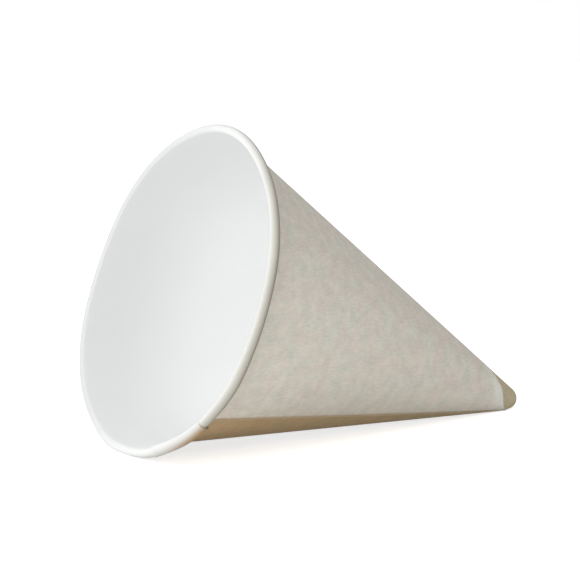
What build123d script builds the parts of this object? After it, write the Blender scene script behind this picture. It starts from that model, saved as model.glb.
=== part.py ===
from build123d import *
from math import asin, atan2, cos, degrees, radians, sin, tan
import os

# A cone cup wound from one sheet of paper, lying on its side as it comes to rest.
# The sheet laps over its own edge along one side, is rolled outwards round the mouth,
# and ends short of the tip, where the folded point of the sheet closes the cup.
# The cup is drawn upright about its own axis, tip down, and is laid down at the end.
# Lengths are in millimetres and angles in degrees. Angles round the axis start at the
# side that the cup lies on and grow towards the front.

# Overall size
MOUTH_DIAMETER = 70.0
HEIGHT = 93.0

# The sheet, and how much less a lap measures than two sheets
PAPER = 0.25
LAP_PRESS = 0.05

# The rolled rim: its outside diameter, and how far the sheet is turned over
ROLL_DIAMETER = 1.9
ROLL_TURN = 290.0

# The seam: where the outer edge of the sheet ends, and how far it laps over the inner edge
SEAM_ANGLE = 47.0
LAP_ANGLE = 28.0
CLIMB_STEPS = 4

# The flat that the soft sheet takes where it lies on its side
REST_ANGLE = 18.0

# The folded point that closes the tip: its rounding outside and inside, how far up the
# sheet it reaches, and how deep it is pressed into the sheet
TIP_RADIUS = 2.2
BOTTOM_RADIUS = 2.6
POINT_HEIGHT = 14.0
POINT_BITE = 0.03

# Height above the tip at which the sheet ends, on the underside and on the opposite side,
# and how far the glue between sheet and point keeps back from that end
SHEET_END_UNDER = 3.4
SHEET_END_OVER = 12.4
GLUE_SETBACK = 0.6

# The rim's roll touches the inner face of the cone from outside, and the tip's rounding
# touches it from inside: that gives the slope of the cone
ROLL_RADIUS = ROLL_DIAMETER / 2
LAP_STEP = PAPER - LAP_PRESS
ROLL_CENTRE = Vector(MOUTH_DIAMETER / 2 - ROLL_RADIUS, HEIGHT - ROLL_RADIUS)
TIP_CENTRE = Vector(0, TIP_RADIUS)
REACH = ROLL_CENTRE - TIP_CENTRE
SLOPE = atan2(REACH.X, REACH.Y) - asin((TIP_RADIUS + ROLL_RADIUS) / REACH.length)
OUTWARD = Vector(cos(SLOPE), -sin(SLOPE))
ROLL_START = ROLL_CENTRE - OUTWARD * ROLL_RADIUS

# Where the inner edge of the sheet lies round the axis, and where the sheet starts to climb
# onto it: at the end of the flat
EDGE_ANGLE = SEAM_ANGLE - LAP_ANGLE
CLIMB_START = REST_ANGLE / 2
CLIMB_ANGLE = EDGE_ANGLE - CLIMB_START


def cone_radius(height, lift=0.0):
    """Radius of the cone that lies a lift outside the cup's inner face, at a height above the tip."""
    return (TIP_RADIUS + lift) / cos(SLOPE) + (height - TIP_RADIUS) * tan(SLOPE)


def upright(edges):
    """Face between edges drawn beside the axis, as radius and height."""
    return Plane.XZ * make_face(edges)


def sheet_section(lift, thickness, roll_radius):
    """Section of the sheet, from the tip up the wall and round the rolled rim."""
    centre = ROLL_START + OUTWARD * (lift + roll_radius)
    wall_bearing = 180 - degrees(SLOPE)

    def on_roll(radius, turn):
        bearing = radians(wall_bearing - turn)
        return centre + Vector(cos(bearing), sin(bearing)) * radius

    inner = roll_radius - thickness
    foot_inside = Vector(cone_radius(0, lift), 0)
    foot_outside = Vector(cone_radius(0, lift + thickness), 0)
    return upright([
        Line(foot_inside, on_roll(roll_radius, 0)),
        ThreePointArc(*(on_roll(roll_radius, turn) for turn in (0, ROLL_TURN / 2, ROLL_TURN))),
        Line(on_roll(roll_radius, ROLL_TURN), on_roll(inner, ROLL_TURN)),
        ThreePointArc(*(on_roll(inner, turn) for turn in (ROLL_TURN, ROLL_TURN / 2, 0))),
        Line(on_roll(inner, 0), foot_outside),
        Line(foot_outside, foot_inside),
    ])


def wound(section, start, turn):
    """Section carried round the axis from a starting angle."""
    return Rot(0, 0, start) * revolve(section, Axis.Z, turn)


def plain_stretch():
    """Single sheet, from the seam round to the flat."""
    return wound(sheet_section(0, PAPER, ROLL_RADIUS), SEAM_ANGLE, 360 - SEAM_ANGLE - REST_ANGLE / 2)


def flat_stretch():
    """Single sheet pressed flat from tip to rim, where the cup lies on it."""
    section = sheet_section(0, PAPER, ROLL_RADIUS)
    return loft([Rot(0, 0, side * REST_ANGLE / 2) * section for side in (-1, 1)], ruled=True)


def climb_stretch():
    """Single sheet that rises gently until it can lie on its own inner edge."""
    sections = []
    for step in range(CLIMB_STEPS + 1):
        share = step / CLIMB_STEPS
        lift = LAP_STEP * share * share * (3 - 2 * share)
        section = sheet_section(lift, PAPER, ROLL_RADIUS)
        sections.append(Rot(0, 0, CLIMB_START + CLIMB_ANGLE * share) * section)
    return loft(sections)


def lap_stretch():
    """Both plies glued together, from the inner edge of the sheet to its outer edge at the seam."""
    section = sheet_section(0, PAPER + LAP_STEP, ROLL_RADIUS + LAP_STEP)
    return wound(section, EDGE_ANGLE, LAP_ANGLE)


def sheet_end(margin=0.0):
    """Half space below the slanting cut where the sheet ends, or a margin above that cut."""
    under = Vector(cone_radius(SHEET_END_UNDER, PAPER), 0, SHEET_END_UNDER)
    over = Vector(-cone_radius(SHEET_END_OVER, PAPER), 0, SHEET_END_OVER)
    across = over - under
    cut = Plane(under, x_dir=across, z_dir=Vector(0, 1, 0).cross(across))
    size = MOUTH_DIAMETER
    return cut.offset(margin) * Pos(0, 0, -size / 2) * Box(size, size, size)


def rounded_section(lift, rounding, top):
    """Half section of a cone at a lift from the cup's inner face, round below and flat on top."""
    centre = Vector(0, TIP_RADIUS + (rounding - lift - TIP_RADIUS) / sin(SLOPE))

    def on_rounding(bearing):
        return centre + Vector(cos(bearing), -sin(bearing)) * rounding

    steepest = radians(90)
    lowest = on_rounding(steepest)
    touch = on_rounding(SLOPE)
    edge = Vector(cone_radius(top, lift), top)
    middle = Vector(0, top)
    return upright([
        ThreePointArc(lowest, on_rounding((SLOPE + steepest) / 2), touch),
        Line(touch, edge),
        Line(edge, middle),
        Line(middle, lowest),
    ])


def folded_point():
    """Folded point of the sheet, round below and hollow, with glue where the sheet climbs off it."""
    glue_lift = (PAPER + LAP_STEP) / 2
    glue_section = rounded_section(glue_lift, TIP_RADIUS + glue_lift, POINT_HEIGHT)
    glue = wound(glue_section, CLIMB_START, CLIMB_ANGLE + LAP_ANGLE / 2) - sheet_end(GLUE_SETBACK)
    point = revolve(rounded_section(POINT_BITE, TIP_RADIUS + POINT_BITE, POINT_HEIGHT), Axis.Z)
    hollow = revolve(rounded_section(-PAPER, BOTTOM_RADIUS, POINT_HEIGHT + PAPER), Axis.Z)
    return point + glue - hollow


def laid_down(cup):
    """Cup on its side, tip towards +X, on the flat of its rim and the corner of its lap, centred."""
    corner_radius = cone_radius(SHEET_END_UNDER, PAPER + LAP_STEP)
    corner = Vector(corner_radius * cos(radians(EDGE_ANGLE)), SHEET_END_UNDER)
    flat_roll = Vector(ROLL_CENTRE.X * cos(radians(REST_ANGLE / 2)), ROLL_CENTRE.Y)
    reach = flat_roll - corner
    lean = degrees(atan2(reach.X, reach.Y) + asin(ROLL_RADIUS / reach.length))
    lying = Rot(0, lean - 90, 0) * Rot(0, 0, 180) * cup
    box = lying.bounding_box()
    return Pos(-box.center().X, -box.center().Y, -box.min.Z) * lying


def cone_cup():
    """The whole cup, one piece of paper."""
    sheet = plain_stretch() + flat_stretch() + climb_stretch() + lap_stretch()
    return laid_down(sheet - sheet_end() + folded_point())


os.makedirs("parts", exist_ok=True)
export_step(cone_cup(), "parts/cone_cup.step")
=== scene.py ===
import math

import bmesh
import bpy
import numpy as np
from bpy.props import FloatProperty, FloatVectorProperty, PointerProperty
from mathutils import Matrix, Vector


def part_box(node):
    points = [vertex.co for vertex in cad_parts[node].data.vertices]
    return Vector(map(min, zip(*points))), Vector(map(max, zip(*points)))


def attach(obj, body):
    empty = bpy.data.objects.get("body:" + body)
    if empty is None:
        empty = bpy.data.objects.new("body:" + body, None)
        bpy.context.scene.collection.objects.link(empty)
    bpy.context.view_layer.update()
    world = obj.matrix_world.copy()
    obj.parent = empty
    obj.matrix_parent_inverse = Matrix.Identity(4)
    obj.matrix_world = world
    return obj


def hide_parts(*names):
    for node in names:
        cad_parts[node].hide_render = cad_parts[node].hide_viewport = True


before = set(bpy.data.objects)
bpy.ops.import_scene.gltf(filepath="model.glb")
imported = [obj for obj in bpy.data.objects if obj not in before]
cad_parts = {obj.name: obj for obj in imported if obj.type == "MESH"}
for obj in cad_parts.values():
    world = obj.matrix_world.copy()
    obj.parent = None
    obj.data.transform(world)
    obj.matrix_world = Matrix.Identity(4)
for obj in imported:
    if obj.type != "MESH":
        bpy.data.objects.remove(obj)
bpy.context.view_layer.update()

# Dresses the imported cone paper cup: one sheet of thin paper, wound into a cone, lapped and glued
# along one side, rolled outwards at the mouth and closed by its folded point. The cup lies on its
# side. Lengths are in metres. Angles round the axis start at the side that the cup lies on and
# grow towards the front. A lift is a distance outwards from the cone that the sheet's inner face
# lies on, and a turn of the roll starts at the wall.

bl_info = {
    "name": "Cone paper cup",
    "version": (1, 0, 0),
    "blender": (4, 5, 0),
    "location": "3D View > Sidebar > Cone cup",
    "description": "Makes a cone paper cup with a rolled rim, and a plain studio for it",
    "category": "Add Mesh",
}

CUP_NODE = "cone_cup"
MM = 0.001
FULL_TURN = 2 * math.pi

# The mesh

# Columns round the cup: the plain sheet, the flat it lies on, the climb and the lap
PLAIN_COLUMNS = 350
FLAT_COLUMNS = 12
CLIMB_COLUMNS = 16
LAP_COLUMNS = 32

# Rows along the sheet
TIP_ROWS = 12
POINT_ROWS = 12
WALL_ROWS = 56
ROLL_ROWS = 22
EDGE_ROWS = 3

# Points nearer to each other than the first are merged, and edges shorter than the second are
# taken out. Faces that meet at more than the crease angle keep a sharp edge.
MERGE_DISTANCE = 1e-7
SHORTEST_EDGE = 1e-8
CREASE = math.radians(38)

# Units of the sheet's UV map in a metre, and how far its inner face is moved aside in it
UV_PER_METRE = 10
UV_INSIDE = 3

# Greatest depth into the lap that the mesh notes, in millimetres
DEPTH_LIMIT = 9

# What handling did to the paper

# Waves round the mouth, each with its order, its size and the angle of its crest in degrees, how
# much wider the mouth is all round, and the angle over which both fade out towards the flat
RIM_WAVES = (
    (1, 0.49 * MM, 69.7),
    (2, 0.45 * MM, 60.1),
    (3, 0.53 * MM, 74.7),
    (4, 0.24 * MM, 47.8),
    (6, 0.17 * MM, 55.0),
)
RIM_SWELL = -0.17 * MM
WAVES_FADE = math.radians(22)

# Where the roll is pinched fatter than elsewhere: angle, size and reach to each side, with the
# angles in degrees, and the turn of the roll from which it is pinched in full
ROLL_PINCHES = ((64.0, 0.32 * MM, 12.0), (107.0, 0.14 * MM, 12.0))
PINCH_TURN = 180

# Where the sheet's end stands out: the angles from the underside between which that starts, and
# between which it stops
FLARE_STARTS = (math.radians(30), math.radians(75))
FLARE_STOPS = (math.radians(100), math.radians(145))

# Up to where from the underside the sheet's end is drawn in full towards the tip, and from where
# it isn't
TONGUE_FULL = math.radians(35)
TONGUE_NONE = math.radians(75)

# How far round the plain sheet follows the seam's skew, the radius at which the seam isn't turned,
# as a share of the mouth's diameter, and the radius nearer than which the skew turns it no
# further, because the columns of the lap would fold back over each other
SKEW_REACH = math.radians(70)
SKEW_LEVEL = 0.6
SKEW_NEAREST = 3.3 * MM

# How softly the flat side passes into the round, as a share of the radius, the angle from the
# underside up to which it does, and the greatest angle that the flat's formula is given
FLAT_SOFTNESS = 0.02
FLAT_REACH = math.radians(45)
FLAT_LIMIT = math.radians(60)

# The wall is drawn in where the two plies are pressed: the middle of that dip, its reach to
# each side, and how far below the roll it starts
DIP_MIDDLE = math.radians(20)
DIP_REACH = math.radians(50)
DIP_START = 5 * MM

# The look of the paper

# Noise in the units of the UV map, as scale, detail and roughness: the clouds, their tint, the
# fibres and the grain. The last two are drawn out along the sheet.
CLOUDS = (34, 5, 0.65)
TINTS = (20, 4, 0.65)
FIBRES = (60, 4, 0.7)
GRAIN = (260, 5, 0.7)
DRAWN_OUT = (1.0, 4.0, 1.0)

# How that noise shows. Clouds and fibres: the noise's range, and what its ends put into the sum
# that is the paper's brightness. Tint: the noise's range, and the colours at its ends that the
# paper is multiplied by.
CLOUD_SHADES = (0.3, 0.7, -0.063, 0.063)
FIBRE_SHADES = (0.25, 0.75, 0.925, 1.075)
TINT_RANGE = (0.35, 0.65)
WARM_TINT = (1.027, 0.982, 0.973, 1)
COOL_TINT = (0.982, 1.01, 0.987, 1)
GRAIN_STRENGTH = 0.12
GRAIN_DEPTH = 0.1 * MM

# Where the lap's painted shade starts and is full: millimetres into the lap, and heights between
# which its low colour passes into its high one, as shares of the cup's height
LAP_ACROSS = (-0.9, 0.5)
LAP_SHADE_ALONG = (0.2, 0.95)

# Where the pale lip at the sheet's end, a painted highlight, is full and where it ends, in
# millimetres above that end, and how much less pale it is on the lap
LIP_HIGHLIGHT_ALONG = (0.5, 5.5)
LIP_HIGHLIGHT_LESS_ON_LAP = 0.6

# Where the inner face is greyer near the mouth, a painted shade on its far upper side, which the
# lamps leave in shade: heights as shares of the cup's height, the range of how far a place lies
# on the far upper side, and what front and under count in that
MOUTH_SHADE_HEIGHTS = (0.7, 0.97)
MOUTH_SHADE_SIDES = (-0.5, 0.85)
SHADE_SIDE_FRONT = -0.85
SHADE_SIDE_UNDER = -0.2

# Where the roll has its painted shades: turns of the roll in degrees, and front, which is the sine
# of the angle round the axis, each from none of the colour to all of it
FAR_ROLL_SHADE = ((0, 60), (0.5, -0.95))
NEAR_ROLL_SHADE = ((10, 135), (-0.15, 0.9))
BROWN_ROLL_SHADE = ((95, 165), (0.42, 0.68))
DARK_ROLL_SHADE = ((140, 230), (-0.2, 0.6))

PAPER_ROUGHNESS = 0.72
PAPER_SHINE = 0.15

# The studio

# Half the floor's width, its own white, the distances from the middle between which its glow
# grows, and that glow at both
FLOOR_REACH = 3.0
FLOOR_WHITE = (0.88, 0.88, 0.88, 1)
FLOOR_GLOW = (0.08, 0.35, 0.72, 1.0)
WHITE = (1, 1, 1, 1)

# Lamps, each with its azimuth and elevation in degrees and the width of its square, and how far
# all of them are from the middle
LAMPS = (
    ("key", -102, 40, 0.6),
    ("side", -60, 8, 0.5),
    ("fill", 20, 40, 0.5),
    ("back", 180, 4, 0.5),
)
LAMP_DISTANCE = 0.9

# The photograph's camera: its place, the azimuth and elevation from which it looks, its lens and
# sensor in millimetres, and the nearest and farthest it sees
CAMERA_PLACE = (-0.24975, -0.38302, 0.08655)
CAMERA_SIDE = (-32.057, 7.052)
CAMERA_LENS = 135.95
CAMERA_SENSOR = 36
CAMERA_SIGHT = (0.02, 20)


class CupSizes(bpy.types.PropertyGroup):
    """Sizes of the cone paper cup."""

    mouth: FloatProperty(
        name="Mouth", description="Outside diameter of the rolled rim",
        default=70 * MM, unit="LENGTH")
    height: FloatProperty(
        name="Height", description="Height from the tip to the rim",
        default=93 * MM, unit="LENGTH")
    paper: FloatProperty(
        name="Paper", description="Thickness of the sheet",
        default=0.25 * MM, unit="LENGTH")
    lap_step: FloatProperty(
        name="Lap step", description="Step at the edges of the lap",
        default=0.2 * MM, unit="LENGTH")
    roll: FloatProperty(
        name="Roll", description="Outside diameter of the rim's roll",
        default=1.9 * MM, unit="LENGTH")
    roll_turn: FloatProperty(
        name="Roll turn", description="How far the rim is turned over",
        default=math.radians(290), subtype="ANGLE")
    seam: FloatProperty(
        name="Seam", description="Where the outer edge of the sheet ends",
        default=math.radians(47), subtype="ANGLE")
    lap: FloatProperty(
        name="Lap", description="How far the sheet laps over itself",
        default=math.radians(28), subtype="ANGLE")
    seam_skew: FloatProperty(
        name="Seam skew", description="How far the seam's line passes beside the axis",
        default=1.5 * MM, unit="LENGTH")
    dip: FloatProperty(
        name="Dip", description="How far the wall is drawn in beside the lap, at the rim",
        default=0.72 * MM, unit="LENGTH")
    rest: FloatProperty(
        name="Rest", description="Width of the flat on which the cup lies",
        default=math.radians(18), subtype="ANGLE")
    tip: FloatProperty(
        name="Tip", description="Rounding of the folded point",
        default=2.2 * MM, unit="LENGTH")
    bottom: FloatProperty(
        name="Bottom", description="Rounding inside the folded point",
        default=2.6 * MM, unit="LENGTH")
    point: FloatProperty(
        name="Point", description="How far up the folded point reaches",
        default=14 * MM, unit="LENGTH")
    bite: FloatProperty(
        name="Bite", description="How deep the solid's point is pressed into the sheet",
        default=0.03 * MM, unit="LENGTH")
    fullness: FloatProperty(
        name="Fullness", description="How far the point swells out of the sheet's inner face",
        default=0.21 * MM, unit="LENGTH")
    nose: FloatProperty(
        name="Nose", description="Rounding of the swollen point",
        default=2.65 * MM, unit="LENGTH")
    end_under: FloatProperty(
        name="End below", description="Height of the sheet's slanting end on the underside",
        default=3.4 * MM, unit="LENGTH")
    end_over: FloatProperty(
        name="End above", description="Height of the sheet's slanting end on the upper side",
        default=12.4 * MM, unit="LENGTH")
    bow: FloatProperty(
        name="Bow", description="How much further back the sheet's end lies on the front side",
        default=0.6 * MM, unit="LENGTH")
    tongue: FloatProperty(
        name="Tongue", description="How much nearer the tip the sheet's end lies underneath",
        default=1.6 * MM, unit="LENGTH")
    end_least: FloatProperty(
        name="End least", description="Least height of the sheet's end",
        default=2.4 * MM, unit="LENGTH")
    flare: FloatProperty(
        name="Flare", description="How far the sheet's end stands out above the folded point",
        default=0.32 * MM, unit="LENGTH")
    flare_reach: FloatProperty(
        name="Flare reach", description="Length of the sheet's end that stands out",
        default=4.0 * MM, unit="LENGTH")


class CupFinish(bpy.types.PropertyGroup):
    """Colours of the paper, and the painted shade and highlight on it."""

    inside: FloatVectorProperty(
        name="Inside", description="Coated inner face near the tip",
        subtype="COLOR", size=3, default=(0.885, 0.895, 0.89))
    # Painted shade: the coated face greyer near the mouth on its far upper side
    mouth: FloatVectorProperty(
        name="Mouth", description="Coated inner face near the mouth, on the far upper side",
        subtype="COLOR", size=3, default=(0.77, 0.78, 0.775))
    outside: FloatVectorProperty(
        name="Outside", description="Outer face where the sheet is single",
        subtype="COLOR", size=3, default=(0.88, 0.835, 0.745))
    # Painted shade: the glued lap darker and browner than the single sheet, most near the tip
    lap_shade_high: FloatVectorProperty(
        name="Lap high", description="Glued lap near the rim",
        subtype="COLOR", size=3, default=(0.585, 0.42, 0.235))
    lap_shade_low: FloatVectorProperty(
        name="Lap low", description="Glued lap near the tip",
        subtype="COLOR", size=3, default=(0.48, 0.368, 0.217))
    # Painted shade: the folded point darker and browner than the single sheet
    folded: FloatVectorProperty(
        name="Point", description="Folded point",
        subtype="COLOR", size=3, default=(0.64, 0.56, 0.385))
    # Painted shade: the far roll greyer than the coated paper
    far_roll_shade: FloatVectorProperty(
        name="Far rim", description="Rolled rim on the far side",
        subtype="COLOR", size=3, default=(0.675, 0.685, 0.675))
    # Painted shade: the near roll tan where it turns outwards
    rim: FloatVectorProperty(
        name="Rim", description="Rolled rim where it turns outwards, on the front side",
        subtype="COLOR", size=3, default=(0.565, 0.545, 0.485))
    # Painted shade: the near roll dark where it turns in to the wall
    crevice_shade: FloatVectorProperty(
        name="Crevice", description="Rolled rim where it meets the wall, on the front side",
        subtype="COLOR", size=3, default=(0.25, 0.195, 0.115))
    # Painted shade: the roll brown where the sheet laps over itself
    lap_roll_shade: FloatVectorProperty(
        name="Lap roll", description="Rolled rim where the sheet laps over itself",
        subtype="COLOR", size=3, default=(0.48, 0.31, 0.17))
    # Painted highlight: the pale lip where the sheet's end catches the light
    edge: FloatVectorProperty(
        name="Lip", description="Thin lip at the sheet's end",
        subtype="COLOR", size=3, default=(0.98, 0.975, 0.9))


class StudioSettings(bpy.types.PropertyGroup):
    """Light of the studio. Each level is what a white surface square to the lamp shows."""

    sky: FloatProperty(
        name="Sky", description="Even light from all round", default=0.26, min=0)
    key: FloatProperty(
        name="Key", description="High light from the left", default=0.56, min=0)
    side: FloatProperty(
        name="Side", description="Low light from the front left", default=0.45, min=0)
    fill: FloatProperty(
        name="Fill", description="High light from the front right", default=0.17, min=0)
    back: FloatProperty(
        name="Back", description="Low light from behind", default=0.06, min=0)


def smooth(share):
    """Share from 0 to 1 eased at both ends: three times its square less twice its cube."""
    share = np.clip(share, 0, 1)
    return share * share * (3 - 2 * share)


def away(angle, middle=0.0):
    """How far an angle is from a middle, the shorter way round: the difference brought to between
    minus and plus half a turn, without its sign."""
    return np.abs((angle - middle + math.pi) % FULL_TURN - math.pi)


def cone_slope(s):
    """Half angle of the cone that has the roll outside it and the tip's rounding inside it: the
    angle of the line between their centres, less the angle whose sine is the sum of their radii
    over the length of that line."""
    across, along = s.mouth / 2 - s.roll / 2, s.height - s.roll / 2 - s.tip
    return math.atan2(across, along) - math.asin((s.tip + s.roll / 2) / math.hypot(across, along))


def cone_radius(s, height, lift):
    """Radius of the cone at a height above the tip and a lift: the tip's rounding and the lift over
    the cosine of the slope, plus the height above that rounding's centre times its tangent."""
    slope = cone_slope(s)
    return (s.tip + lift) / math.cos(slope) + (height - s.tip) * math.tan(slope)


def lying_frame(s):
    """The tip's place and the directions mouthwards, down and front, when the cup lies in its CAD
    box. The cup leans on the flat of its roll and the corner of its lap: the lean is the angle of
    the line between them plus the angle whose sine is the roll's radius over its length. The
    highest and the furthest point of the box, less the cup's own reach, give the tip's place."""
    half_rest, edge = s.rest / 2, s.seam - s.lap
    roll_across, roll_along = s.mouth / 2 - s.roll / 2, s.height - s.roll / 2
    corner = cone_radius(s, s.end_under, s.paper + s.lap_step) * math.cos(edge)
    across = roll_across * math.cos(half_rest) - corner
    along = roll_along - s.end_under
    lean = math.atan2(across, along) + math.asin(s.roll / 2 / math.hypot(across, along))
    mouthwards = np.array([-math.cos(lean), 0, math.sin(lean)])
    down = np.array([-math.sin(lean), 0, -math.cos(lean)])
    front = np.array([0, -1.0, 0])
    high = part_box(CUP_NODE)[1]
    tip_x = high.x - s.tip - s.bite + s.tip * math.cos(lean)
    tip_z = high.z - s.roll / 2 - roll_along * math.sin(lean) - roll_across * math.cos(lean)
    return np.array([tip_x, 0, tip_z]), mouthwards, down, front


def sheet_columns(s):
    """Angle, lift, thickness and roll radius of each column of the mesh, in equal steps along each
    stretch from the seam round to the seam. Two columns at one angle make a cut edge: the inner
    one under the lap, and the outer one at the seam. The lift is eased from nothing to the lap's
    step along the climb."""
    half_rest, edge = s.rest / 2, s.seam - s.lap
    plain = np.linspace(s.seam, FULL_TURN - half_rest, PLAIN_COLUMNS)
    flat = np.linspace(FULL_TURN - half_rest, FULL_TURN + half_rest, FLAT_COLUMNS + 1)[1:]
    climb = np.linspace(FULL_TURN + half_rest, FULL_TURN + edge, CLIMB_COLUMNS + 1)[1:]
    lap = np.linspace(FULL_TURN + edge, FULL_TURN + s.seam, LAP_COLUMNS)
    angle = np.concatenate([plain, flat, climb, lap])
    lapped = np.arange(len(angle)) >= len(angle) - LAP_COLUMNS
    rise = smooth((angle - FULL_TURN - half_rest) / (edge - half_rest)) * s.lap_step
    lift = np.where(lapped, 0, rise)
    thickness = np.where(lapped, s.paper + s.lap_step, s.paper)
    roll = np.where(lapped, s.roll / 2 + s.lap_step, s.roll / 2)
    return angle, lift, thickness, roll


def skewed(s, angle, radius):
    """Angles once the seam is drawn straight beside the axis. The seam's turn is the angle whose
    sine is skew over radius, less its value where the seam isn't turned. It grows no more nearer
    than a smallest radius, and is eased to nothing on both sides of the seam."""
    level = math.asin(s.seam_skew / (SKEW_LEVEL * s.mouth))
    turn = level - np.arcsin(s.seam_skew / np.maximum(radius, SKEW_NEAREST))
    behind = np.clip((angle - FULL_TURN - s.seam + s.lap) / s.lap, 0, 1)
    ahead = 1 - smooth((angle - s.seam) / SKEW_REACH)
    return angle + turn * np.maximum(behind, ahead)


def cut_height(s, angle, lift):
    """Height of the sheet's end round the axis, where its slanting cut meets the cone at a lift.
    The cut is a plane through a point under and a point over the axis, so its height falls in
    proportion to the distance towards the underside, and that distance grows with the height. On
    the front side it is bowed back by the fourth power of the sine of the angle. On the underside
    it is drawn towards the tip, eased to nothing towards the sides, down to a least height."""
    slope = cone_slope(s)
    under, over = cone_radius(s, s.end_under, s.paper), cone_radius(s, s.end_over, s.paper)
    fall = (s.end_over - s.end_under) / (under + over)
    start = (s.tip + lift) / math.cos(slope) - s.tip * math.tan(slope)
    reach = fall * np.cos(angle)
    level = (s.end_under + fall * under - reach * start) / (1 + reach * math.tan(slope))
    bowed = s.bow * np.maximum(np.sin(angle), 0) ** 4
    side = (away(skewed(s, angle, SKEW_NEAREST)) - TONGUE_FULL) / (TONGUE_NONE - TONGUE_FULL)
    drawn = s.tongue * (1 - smooth(side))
    return np.maximum(level + bowed - drawn, s.end_least)


def cup_profile(s, angle, lift, thickness, roll):
    """Radius and height of each row and column, from the pole outside the tip, up the outer face,
    round the roll and down the inner face to the pole inside it. Rows are equal steps along
    straight lines and arcs. Marks say what each row is."""
    slope = cone_slope(s)
    one = np.ones_like(angle)
    rows, marks = [], []

    def add(radius, height, **mark):
        """Notes one row and its marks."""
        rows.append((radius * one, height * one))
        marks.append(mark)

    def steps(start, end, count, skip=0):
        """Ends of equal steps from start to end, without the first ones."""
        return np.linspace(start, end, count + 1)[skip:]

    def straight(first, last, count, growing=None, **mark):
        """Rows after the first point, up to the last: the first plus a share of the way."""
        for share in steps(0, 1, count, 1):
            grown = {growing: share} if growing else {}
            radius, height = (a + (b - a) * share for a, b in zip(first, last))
            add(radius, height, **mark, **grown)

    def on_cone(height, lifted):
        """Point of the cone at a height and a lift."""
        return cone_radius(s, height, lifted), height

    def rounding_middle(lifted, radius):
        """Height of the centre of a ball that touches the cone at a lift from inside: the tip's
        rounding plus the rest of the ball's radius over the sine of the slope."""
        return s.tip + (radius - lifted - s.tip) / math.sin(slope)

    def rounding(lifted, radius, bearings, **mark):
        """Rows round such a ball, at bearings below the level."""
        middle = rounding_middle(lifted, radius)
        for bearing in bearings:
            add(radius * math.cos(bearing), middle - radius * math.sin(bearing), **mark)

    def leaves(lifted, radius):
        """Height at which such a ball leaves the cone."""
        return rounding_middle(lifted, radius) - radius * math.sin(slope)

    def on_roll(radius, turned):
        """Point of the roll after a turn: the roll's centre, which lies outside the end of the
        wall, plus the radius at that bearing."""
        beyond = lift + roll - s.roll / 2
        middle_radius = s.mouth / 2 - s.roll / 2 + math.cos(slope) * beyond
        middle_height = s.height - s.roll / 2 - math.sin(slope) * beyond
        bearing = math.pi - slope - turned
        across, along = radius * math.cos(bearing), radius * math.sin(bearing)
        return middle_radius + across, middle_height + along

    end_turn = math.degrees(s.roll_turn)
    point_foot = on_cone(leaves(s.fullness, s.nose), s.fullness)
    point_edge = on_cone(cut_height(s, angle, s.fullness), s.fullness)
    sheet_foot = on_cone(cut_height(s, angle, lift + thickness), lift + thickness)
    ply_end, point_top = on_cone(s.point, lift), on_cone(s.point, -s.paper)
    well_foot = on_cone(leaves(-s.paper, s.bottom), -s.paper)

    rounding(s.fullness, s.nose, steps(math.pi / 2, slope, TIP_ROWS), point=1)
    straight(point_foot, point_edge, POINT_ROWS, point=1)
    straight(point_edge, sheet_foot, EDGE_ROWS, "sheet")
    straight(sheet_foot, on_roll(roll - thickness, 0), WALL_ROWS, sheet=1)
    for turned in steps(0, s.roll_turn, ROLL_ROWS, 1):
        add(*on_roll(roll - thickness, turned), rolled=math.degrees(turned))
    inner, outer = on_roll(roll - thickness, s.roll_turn), on_roll(roll, s.roll_turn)
    straight(inner, outer, EDGE_ROWS, inside=1, rolled=end_turn)
    for turned in steps(s.roll_turn, 0, 2 * ROLL_ROWS, 1):
        add(*on_roll(roll, turned), inside=1, rolled=math.degrees(turned))
    straight(on_roll(roll, 0), ply_end, WALL_ROWS, inside=1)
    straight(ply_end, point_top, EDGE_ROWS, inside=1)
    straight(point_top, well_foot, POINT_ROWS, inside=1)
    rounding(-s.paper, s.bottom, steps(slope, math.pi / 2, TIP_ROWS, 1), inside=1)

    radius, height = (np.array([row[i] for row in rows]) for i in (0, 1))
    named = {
        name: np.array([[mark.get(name, 0)] for mark in marks], float)
        for name in ("point", "sheet", "rolled", "inside")
    }
    return radius, height, named


def out_of_round(s, angle):
    """Factor on the radius for the flat and the waves of the mouth. The flat is a soft minimum of
    the distance towards the underside and the flat's own distance: less softness times the
    logarithm of the sum of both exponentials. The waves are cosines of order times angle from
    their crest, and fade out towards the flat."""
    off, half_rest = away(angle), s.rest / 2
    level = math.exp(-math.cos(half_rest) / FLAT_SOFTNESS) - math.exp(-1 / FLAT_SOFTNESS)
    reach = np.cos(np.minimum(off, FLAT_LIMIT))
    pressed = -FLAT_SOFTNESS * np.log(np.exp(-reach / FLAT_SOFTNESS) + level) / reach
    wave = RIM_SWELL
    for order, size, crest in RIM_WAVES:
        wave = wave + size * np.cos(order * (angle - math.radians(crest)))
    fade = smooth((off - half_rest) / WAVES_FADE)
    return np.where(off < FLAT_REACH, pressed, 1) * (1 + fade * wave / (s.mouth / 2))


def drawn_in(s, angle, height, rolled):
    """Factor on the radius of the wall beside the lap: one less a dip that is eased to nothing
    round the cup and towards the roll."""
    beside = 1 - smooth(away(angle, DIP_MIDDLE) / DIP_REACH)
    below = smooth((s.height - s.roll / 2 - height) / DIP_START)
    return 1 - s.dip / (s.mouth / 2) * beside * below * (1 - rolled)


def pinched(angle, rolled):
    """How much further out the roll lies where it is pinched: a tent round each pinch, which grows
    with the turn of the roll."""
    tents = 0
    for middle, size, reach in ROLL_PINCHES:
        share = away(angle, math.radians(middle)) / math.radians(reach)
        tents = tents + size * np.maximum(1 - share, 0)
    return tents * smooth(rolled / PINCH_TURN)


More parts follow.
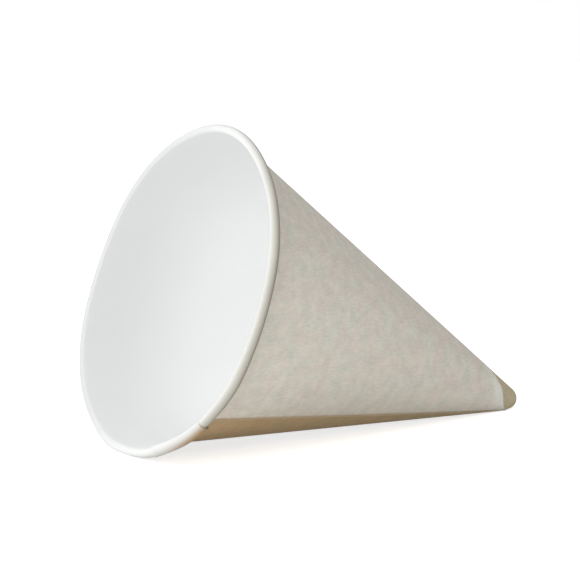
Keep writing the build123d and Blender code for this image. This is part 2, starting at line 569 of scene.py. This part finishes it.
def flared(s, angle, above, sheet):
    """How far the sheet's end stands out: most at the cut, and eased to nothing along the sheet
    and towards the underside and the upper side."""
    off = away(angle)
    starts, stops = (
        smooth((off - first) / (last - first)) for first, last in (FLARE_STARTS, FLARE_STOPS)
    )
    return s.flare * sheet * starts * (1 - stops) * (1 - smooth(above / s.flare_reach))


def lap_depth(s, angle, radius):
    """How far each point lies inside the lap, counted from the nearer of its two edges, and less
    than nothing outside it: the angle from that edge times the radius."""
    past_seam = (s.seam - angle) * radius
    past_edge = (angle - FULL_TURN - s.seam + s.lap) * radius
    nearer = np.minimum(past_seam + FULL_TURN * radius, past_edge)
    return np.where(angle < math.pi, past_seam, nearer)


def flat_sheet(s, radius, height, angle, inside):
    """Place of each point on the sheet laid out flat, as a UV map: polar coordinates whose radius
    is the way along the sheet from the cone's apex, and whose angle is the angle round the axis
    times the sine of the slope. The inner face is moved aside."""
    sine = math.sin(cone_slope(s))
    step = np.hypot(np.diff(radius, axis=0), np.diff(height, axis=0))
    run = np.concatenate([np.zeros((1, radius.shape[1])), np.cumsum(step, axis=0)])
    slant = np.where(inside > 0, run[-1] - run, run) + s.tip / sine - s.tip
    bearing = (angle - s.seam) * sine
    across, along = (UV_PER_METRE * slant * share for share in (np.cos(bearing), np.sin(bearing)))
    return across, along + UV_INSIDE * inside


def grid_mesh(name, places, uv, attributes):
    """Mesh of a grid of rows and columns, closed round the columns and at both end rows, which
    are poles: each face joins two neighbours of a row to those of the next. Attributes are
    numbers for each point."""
    rows, columns = places.shape[:2]
    index = np.arange(rows * columns).reshape(rows, columns)
    after = np.roll(index, -1, axis=1)
    quads = np.stack([index[:-1], after[:-1], after[1:], index[1:]], axis=-1).reshape(-1, 4)
    mesh = bpy.data.meshes.new(name)
    mesh.from_pydata(places.reshape(-1, 3), [], quads.tolist())
    corners = np.stack([part.reshape(-1)[quads] for part in uv], axis=-1)
    layer = mesh.uv_layers.new(name="flat_sheet")
    layer.data.foreach_set("uv", corners.ravel().astype(np.float32))
    for label, values in attributes.items():
        numbers = np.broadcast_to(values, (rows, columns)).ravel().astype(np.float32)
        mesh.attributes.new(label, "FLOAT", "POINT").data.foreach_set("value", numbers)
    work = bmesh.new()
    work.from_mesh(mesh)
    bmesh.ops.remove_doubles(work, verts=work.verts, dist=MERGE_DISTANCE)
    bmesh.ops.dissolve_degenerate(work, dist=SHORTEST_EDGE, edges=work.edges)
    work.to_mesh(mesh)
    work.free()
    mesh.shade_smooth()
    mesh.set_sharp_from_angle(angle=CREASE)
    return mesh


def cup_mesh(s):
    """Mesh of the whole sheet. Each point is the tip, plus its height times the direction
    mouthwards, plus its radius times the spoke, which is the cosine of its angle downwards and
    the sine to the front."""
    angle, lift, thickness, roll = sheet_columns(s)
    radius, height, named = cup_profile(s, angle, lift, thickness, roll)
    turned = skewed(s, angle, radius)
    rolled, inside = named["rolled"], named["inside"]
    above = height - cut_height(s, angle, lift + thickness)
    radius = radius * out_of_round(s, turned) * drawn_in(s, turned, height, np.minimum(rolled, 1))
    radius = radius + pinched(turned, rolled) + flared(s, turned, above, named["sheet"])
    tip, mouthwards, down, front = lying_frame(s)
    spoke = np.cos(turned)[..., None] * down + np.sin(turned)[..., None] * front
    places = tip + height[..., None] * mouthwards + radius[..., None] * spoke
    uv = flat_sheet(s, radius, height, angle, inside)
    attributes = {
        "inside": inside,
        "point": named["point"],
        "lap_depth": np.clip(lap_depth(s, angle, radius) / MM, -DEPTH_LIMIT, DEPTH_LIMIT),
        "height": height / s.height,
        "above_end": (height - cut_height(s, angle, s.paper)) / MM,
        "rolled": rolled,
        "front": np.sin(turned),
        "under": np.cos(turned),
    }
    return grid_mesh("cup_sheet", places, uv, attributes)


class Nodes:
    """Small helper that adds nodes to a tree and links them."""

    def __init__(self, tree):
        """Takes a tree and empties it."""
        self.tree = tree
        tree.nodes.clear()

    def add(self, kind, settings=None, **inputs):
        """Adds a node, gives it settings, and sets or links its inputs by name or number."""
        node = self.tree.nodes.new(kind)
        for name, value in (settings or {}).items():
            setattr(node, name, value)
        for name, value in inputs.items():
            socket = node.inputs[int(name[1:]) if name[0] == "_" else name.replace("_", " ")]
            if isinstance(value, bpy.types.NodeSocket):
                self.tree.links.new(value, socket)
            else:
                socket.default_value = value
        return node

    def maths(self, operation, *values, clamp=False):
        """Result of a sum on one to three numbers."""
        settings = {"operation": operation, "use_clamp": clamp}
        inputs = {f"_{i}": value for i, value in enumerate(values)}
        return self.add("ShaderNodeMath", settings, **inputs).outputs[0]

    def product(self, *values):
        """Product of two or more numbers."""
        result = values[0]
        for value in values[1:]:
            result = self.maths("MULTIPLY", result, value)
        return result

    def mix(self, share, first, second, blend="MIX"):
        """Colour between two colours, or one laid over the other."""
        settings = {"data_type": "RGBA", "blend_type": blend}
        return self.add("ShaderNodeMix", settings, _0=share, _6=first, _7=second).outputs[2]

    def attribute(self, name):
        """Value of a named attribute of the mesh."""
        return self.add("ShaderNodeAttribute", {"attribute_name": name}).outputs["Fac"]

    def spread(self, value, low, high, to_low=0.0, to_high=1.0):
        """Value carried from one range to another, smoothly and without leaving it."""
        settings = {"interpolation_type": "SMOOTHSTEP"}
        inputs = {"_0": value, "_1": low, "_2": high, "_3": to_low, "_4": to_high}
        return self.add("ShaderNodeMapRange", settings, **inputs).outputs[0]

    def noise(self, vector, scale, detail, roughness):
        """Even noise about one half."""
        settings = {"noise_dimensions": "3D"}
        inputs = {"Vector": vector, "Scale": scale, "Detail": detail, "Roughness": roughness}
        return self.add("ShaderNodeTexNoise", settings, **inputs).outputs["Fac"]


def opaque(colour):
    """Colour that lets nothing through: its three numbers and a one."""
    return (*colour, 1)


def plain_colour(n, finish, lapped, point, height):
    """Outer face without its pattern: the single sheet, the lap's painted brown shade over it, the
    pale lip's painted highlight over both, and the folded point's painted shade."""
    # Painted shade: the lap darker and browner than the single sheet, most towards the tip
    along_lap_shade = n.spread(height, *LAP_SHADE_ALONG)
    lap = n.mix(along_lap_shade, opaque(finish.lap_shade_low), opaque(finish.lap_shade_high))
    outer = n.mix(lapped, opaque(finish.outside), lap)
    # Painted highlight: the pale lip at the sheet's end
    lip_highlight_share = n.spread(n.attribute("above_end"), *LIP_HIGHLIGHT_ALONG, 1.0, 0.0)
    lip = n.product(lip_highlight_share, n.maths("MULTIPLY_ADD", lapped, -LIP_HIGHLIGHT_LESS_ON_LAP, 1.0))
    outer = n.mix(lip, outer, opaque(finish.edge))
    # Painted shade: the folded point darker and browner
    return n.mix(point, outer, opaque(finish.folded))


def paper_pattern(n, uv, along):
    """Colour that the outer face is multiplied by: the sum of clouds and fibres, times the warm or
    cool tint of the clouds."""
    tint = n.spread(n.noise(uv, *TINTS), *TINT_RANGE)
    cloud = n.spread(n.noise(uv, *CLOUDS), *CLOUD_SHADES)
    fibre = n.spread(n.noise(along, *FIBRES), *FIBRE_SHADES)
    shade = n.maths("ADD", cloud, fibre)
    grey = n.add("ShaderNodeCombineColor", _0=shade, _1=shade, _2=shade).outputs[0]
    return n.mix(1.0, n.mix(tint, WARM_TINT, COOL_TINT), grey, "MULTIPLY")


def coated_colour(n, finish, lapped, height):
    """Inner face and roll: white, with painted shade over it: greyer at the mouth's far upper side,
    pale grey on the far roll, tan on the near roll and darker where that turns in to the wall, and
    brown where the roll is lapped. Each colour's share is the product of its own ranges."""
    rolled, front, under = n.attribute("rolled"), n.attribute("front"), n.attribute("under")

    def on_roll(turns, fronts):
        """Share of one of the roll's painted shades at a turn of the roll and a side of the cup."""
        return n.product(n.spread(rolled, *turns), n.spread(front, *fronts))

    # Painted shade: greyer near the mouth on the far upper side
    shaded_far_up = n.maths("MULTIPLY_ADD", front, SHADE_SIDE_FRONT, n.product(under, SHADE_SIDE_UNDER))
    mouth_shade_share = n.product(n.spread(height, *MOUTH_SHADE_HEIGHTS), n.spread(shaded_far_up, *MOUTH_SHADE_SIDES))
    coated = n.mix(mouth_shade_share, opaque(finish.inside), opaque(finish.mouth))
    # Painted shade on the roll: grey on the far side, tan in front, brown where lapped, dark where
    # it turns in to the wall
    coated = n.mix(on_roll(*FAR_ROLL_SHADE), coated, opaque(finish.far_roll_shade))
    coated = n.mix(on_roll(*NEAR_ROLL_SHADE), coated, opaque(finish.rim))
    coated = n.mix(n.product(lapped, on_roll(*BROWN_ROLL_SHADE)), coated, opaque(finish.lap_roll_shade))
    return n.mix(on_roll(*DARK_ROLL_SHADE), coated, opaque(finish.crevice_shade))


def paper_material(finish):
    """Thin white paper: a coated inner face, and an uncoated outer face with cloudy formation and
    fibres along the seam. The outer face is darker and browner where two plies are glued and at
    the folded point, which is painted shade, and pale at its thin end, which is a painted
    highlight. The roll belongs to the inner face and is darker in front. The colours of roll and
    mouth are painted shade for the shade that they lie in."""
    material = bpy.data.materials.new("cup_paper")
    material.use_nodes = True
    n = Nodes(material.node_tree)
    uv = n.add("ShaderNodeUVMap", {"uv_map": "flat_sheet"}).outputs[0]
    along = n.add("ShaderNodeMapping", _0=uv, _3=DRAWN_OUT).outputs[0]
    point, height = n.attribute("point"), n.attribute("height")
    lapped = n.spread(n.attribute("lap_depth"), *LAP_ACROSS)
    plain = plain_colour(n, finish, lapped, point, height)
    outer = n.mix(1.0, plain, paper_pattern(n, uv, along), "MULTIPLY")
    coated = coated_colour(n, finish, lapped, height)
    colour = n.mix(n.attribute("inside"), outer, coated)
    grain = n.noise(along, *GRAIN)
    bump = n.add("ShaderNodeBump", Strength=GRAIN_STRENGTH, Distance=GRAIN_DEPTH, Height=grain)
    inputs = {"Base_Color": colour, "Roughness": PAPER_ROUGHNESS, "Normal": bump.outputs[0]}
    shader = n.add("ShaderNodeBsdfPrincipled", Specular_IOR_Level=PAPER_SHINE, **inputs)
    n.add("ShaderNodeOutputMaterial", Surface=shader.outputs[0])
    return material


def seen(n):
    """One for rays that look at the background, straight, mirrored or through glass: the greater
    of camera and mirror ray, and of a clear ray, which is one let through but not scattered."""
    path = n.add("ShaderNodeLightPath")
    through, scattered = path.outputs["Is Transmission Ray"], path.outputs["Is Diffuse Ray"]
    straight = n.maths("MAXIMUM", path.outputs["Is Camera Ray"], path.outputs["Is Glossy Ray"])
    return n.maths("MAXIMUM", straight, n.maths("SUBTRACT", through, scattered, clamp=True))


def floor_material():
    """Plain pale floor that shows white, and greyer only where the object shades it. What it shows
    of its own grows with the distance from the middle, so that the far floor is white too."""
    material = bpy.data.materials.new("pale_floor")
    material.use_nodes = True
    n = Nodes(material.node_tree)
    diffuse = n.add("ShaderNodeBsdfDiffuse", Color=FLOOR_WHITE)
    place = n.add("ShaderNodeTexCoord").outputs["Object"]
    distance = n.add("ShaderNodeVectorMath", {"operation": "LENGTH"}, _0=place).outputs["Value"]
    own = n.product(seen(n), n.spread(distance, *FLOOR_GLOW))
    glow = n.add("ShaderNodeEmission", Color=WHITE, Strength=own)
    both = n.add("ShaderNodeAddShader", _0=diffuse.outputs[0], _1=glow.outputs[0])
    n.add("ShaderNodeOutputMaterial", Surface=both.outputs[0])
    return material


def white_world(strength):
    """World that lights the object evenly and shows as white."""
    world = bpy.data.worlds.new("white_studio")
    bpy.context.scene.world = world
    world.use_nodes = True
    n = Nodes(world.node_tree)
    light = n.add("ShaderNodeBackground", Color=WHITE, Strength=strength)
    white = n.add("ShaderNodeBackground", Color=WHITE, Strength=1.0)
    both = n.add("ShaderNodeMixShader", _0=seen(n), _1=light.outputs[0], _2=white.outputs[0])
    n.add("ShaderNodeOutputWorld", Surface=both.outputs[0])


def direction(azimuth, elevation):
    """Unit vector towards a place round the object, from its azimuth, which is 0 in front and 90
    to the right, and its elevation: sines and cosines of both, as on a globe."""
    a, e = math.radians(azimuth), math.radians(elevation)
    return Vector((math.sin(a) * math.cos(e), -math.cos(a) * math.cos(e), math.sin(e)))


def looking(place, side):
    """Place and turn of a lamp or camera that looks away from a side."""
    return Matrix.Translation(place) @ side.to_track_quat("Z", "Y").to_matrix().to_4x4()


def soft_lamp(name, level, azimuth, elevation, size):
    """Square lamp that faces the object. A white surface square to it renders at the level, because
    its power is the level times the square of pi times the square of its distance."""
    lamp = bpy.data.lights.new(name, "AREA")
    lamp.shape = "SQUARE"
    lamp.size = size
    lamp.energy = level * math.pi ** 2 * LAMP_DISTANCE ** 2
    holder = bpy.data.objects.new(name, lamp)
    bpy.context.scene.collection.objects.link(holder)
    side = direction(azimuth, elevation)
    holder.matrix_world = looking(side * LAMP_DISTANCE, side)
    holder.visible_camera = False


def studio_camera():
    """Camera at the photograph's place, level, looking a little down at the cup."""
    camera = bpy.data.cameras.new("camera")
    camera.lens = CAMERA_LENS
    camera.sensor_width = CAMERA_SENSOR
    camera.clip_start, camera.clip_end = CAMERA_SIGHT
    holder = bpy.data.objects.new("camera", camera)
    bpy.context.scene.collection.objects.link(holder)
    holder.matrix_world = looking(Vector(CAMERA_PLACE), direction(*CAMERA_SIDE))
    bpy.context.scene.camera = holder


class OBJECT_OT_cone_cup(bpy.types.Operator):
    """Make the paper cup."""

    bl_idname = "object.cone_cup"
    bl_label = "Cone cup"

    def execute(self, context):
        """Builds the sheet and puts it in the place of the CAD node."""
        scene = context.scene
        mesh = cup_mesh(scene.cup_sizes)
        if not mesh.polygons or mesh.validate():
            raise RuntimeError("The sheet's mesh came out empty or faulty")
        mesh.materials.append(paper_material(scene.cup_finish))
        cup = bpy.data.objects.new("cup_sheet", mesh)
        scene.collection.objects.link(cup)
        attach(cup, "root")
        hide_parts(CUP_NODE)
        return {"FINISHED"}


class OBJECT_OT_cup_studio(bpy.types.Operator):
    """Make the floor, the light and the camera."""

    bl_idname = "object.cup_studio"
    bl_label = "Studio"

    def execute(self, context):
        """Builds a plain white studio."""
        settings = context.scene.cup_studio
        mesh = bpy.data.meshes.new("floor")
        sides = ((-1, -1), (1, -1), (1, 1), (-1, 1))
        corners = [(FLOOR_REACH * x, FLOOR_REACH * y, 0) for x, y in sides]
        mesh.from_pydata(corners, [], [(0, 1, 2, 3)])
        mesh.materials.append(floor_material())
        floor = bpy.data.objects.new("floor", mesh)
        context.scene.collection.objects.link(floor)
        white_world(settings.sky)
        for name, azimuth, elevation, size in LAMPS:
            soft_lamp(name, getattr(settings, name), azimuth, elevation, size)
        studio_camera()
        if context.scene.camera is None or context.scene.world is None:
            raise RuntimeError("The studio has no camera or no light from all round")
        context.scene.view_settings.view_transform = "Standard"
        return {"FINISHED"}


class VIEW3D_PT_cone_cup(bpy.types.Panel):
    """Lists the cup's sizes and colours and the operators that make it."""

    bl_idname = "VIEW3D_PT_cone_cup"
    bl_label = "Cone paper cup"
    bl_space_type = "VIEW_3D"
    bl_region_type = "UI"
    bl_category = "Cone cup"

    def draw(self, context):
        """Draws each operator's groups of settings above it."""
        scene = context.scene
        boxes = (
            ("object.cone_cup", scene.cup_sizes, scene.cup_finish),
            ("object.cup_studio", scene.cup_studio),
        )
        for operator, *groups in boxes:
            box = self.layout.box()
            for group in groups:
                for name in group.__annotations__:
                    box.prop(group, name)
            box.operator(operator)


CLASSES = (
    CupSizes, CupFinish, StudioSettings,
    OBJECT_OT_cone_cup, OBJECT_OT_cup_studio, VIEW3D_PT_cone_cup,
)
SETTINGS = {"cup_sizes": CupSizes, "cup_finish": CupFinish, "cup_studio": StudioSettings}


def register():
    """Registers the classes and hangs the settings on the scene."""
    for item in CLASSES:
        bpy.utils.register_class(item)
    for name, group in SETTINGS.items():
        setattr(bpy.types.Scene, name, PointerProperty(type=group))


def unregister():
    """Takes back what register did."""
    for name in SETTINGS:
        delattr(bpy.types.Scene, name)
    for item in reversed(CLASSES):
        bpy.utils.unregister_class(item)


def main():
    """Makes the cup and its studio."""
    register()
    bpy.ops.object.cone_cup()
    bpy.ops.object.cup_studio()


if __name__ == "__main__":
    main()
